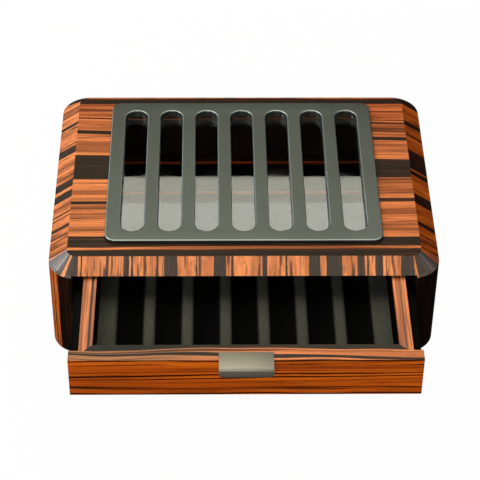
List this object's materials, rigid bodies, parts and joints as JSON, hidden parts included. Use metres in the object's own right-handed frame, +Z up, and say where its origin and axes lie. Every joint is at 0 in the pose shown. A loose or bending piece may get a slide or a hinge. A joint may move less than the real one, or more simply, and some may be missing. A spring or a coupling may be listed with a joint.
{
  "type": "pen collector chest",
  "caption": "Low veneered pen chest with a bevelled top, a slotted metal plate over a glass window, and drawers on ball slides with grooved pen trays and folded metal pulls.",
  "frame": {"origin": "middle of the case's underside, on the face of the felt that the chest stands on", "axes": "+X to the right, +Y to the back, away from the drawer fronts, +Z up"},
  "size_m": [0.27, 0.2936, 0.084],
  "materials": {
    "veneer": "satin lacquer over striped ebony veneer",
    "plywood": "sanded",
    "glass": "clear",
    "anodised_plate": "satin grey anodised",
    "satin_nickel": "satin",
    "zinc_steel": "zinc plated",
    "black_steel": "black electrocoat",
    "leatherette": "fine grained black",
    "felt": "pressed felt",
    "rubber": "matt"
  },
  "bodies": {
    "case": {"lid_panel": "veneer", "left_side": "veneer", "right_side": "veneer", "back_panel": "veneer", "base_panel": "plywood", "base_felt": "felt", "window_plate": "anodised_plate", "window_glass": "glass", "plate_screws": "zinc_steel", "base_screws": "zinc_steel", "dowels": "plywood", "rail_screws": "zinc_steel", "slide_stops": "rubber", "upper_left_rail": "black_steel", "upper_right_rail": "black_steel", "lower_left_rail": "black_steel", "lower_right_rail": "black_steel"},
    "upper_drawer": {"upper_front": "veneer", "upper_box_front": "veneer", "upper_left_board": "veneer", "upper_right_board": "veneer", "upper_box_back": "veneer", "upper_floor": "plywood", "upper_lining": "leatherette", "upper_pen_tray": "leatherette", "upper_pull": "satin_nickel", "upper_pull_studs": "satin_nickel", "upper_front_screws": "zinc_steel", "upper_left_runner": "black_steel", "upper_right_runner": "black_steel", "upper_runner_screws": "zinc_steel"},
    "upper_left_ball_cage": {"upper_left_cage": "zinc_steel", "upper_left_balls": "zinc_steel"},
    "upper_right_ball_cage": {"upper_right_cage": "zinc_steel", "upper_right_balls": "zinc_steel"},
    "lower_drawer": {"lower_front": "veneer", "lower_box_front": "veneer", "lower_left_board": "veneer", "lower_right_board": "veneer", "lower_box_back": "veneer", "lower_floor": "plywood", "lower_lining": "leatherette", "lower_pen_tray": "leatherette", "lower_pull": "satin_nickel", "lower_pull_studs": "satin_nickel", "lower_front_screws": "zinc_steel", "lower_left_runner": "black_steel", "lower_right_runner": "black_steel", "lower_runner_screws": "zinc_steel"},
    "lower_left_ball_cage": {"lower_left_cage": "zinc_steel", "lower_left_balls": "zinc_steel"},
    "lower_right_ball_cage": {"lower_right_cage": "zinc_steel", "lower_right_balls": "zinc_steel"}
  },
  "joints": [
    {"name": "upper_drawer_slide", "type": "slide", "parent": "case", "child": "upper_drawer", "axis": [0, -1, 0], "range_m": [-0.0773, 0.0327]},
    {"name": "upper_left_cage_roll", "type": "slide", "parent": "case", "child": "upper_left_ball_cage", "axis": [0, -1, 0], "range_m": [-0.03865, 0.01635]},
    {"name": "upper_right_cage_roll", "type": "slide", "parent": "case", "child": "upper_right_ball_cage", "axis": [0, -1, 0], "range_m": [-0.03865, 0.01635]},
    {"name": "lower_drawer_slide", "type": "slide", "parent": "case", "child": "lower_drawer", "axis": [0, -1, 0], "range_m": [0, 0.11]},
    {"name": "lower_left_cage_roll", "type": "slide", "parent": "case", "child": "lower_left_ball_cage", "axis": [0, -1, 0], "range_m": [0, 0.055]},
    {"name": "lower_right_cage_roll", "type": "slide", "parent": "case", "child": "lower_right_ball_cage", "axis": [0, -1, 0], "range_m": [0, 0.055]}
  ],
  "couplings": [
    {"joint": "upper_left_cage_roll", "follows": "upper_drawer_slide", "ratio": 0.5},
    {"joint": "upper_right_cage_roll", "follows": "upper_drawer_slide", "ratio": 0.5},
    {"joint": "lower_left_cage_roll", "follows": "lower_drawer_slide", "ratio": 0.5},
    {"joint": "lower_right_cage_roll", "follows": "lower_drawer_slide", "ratio": 0.5}
  ]
}
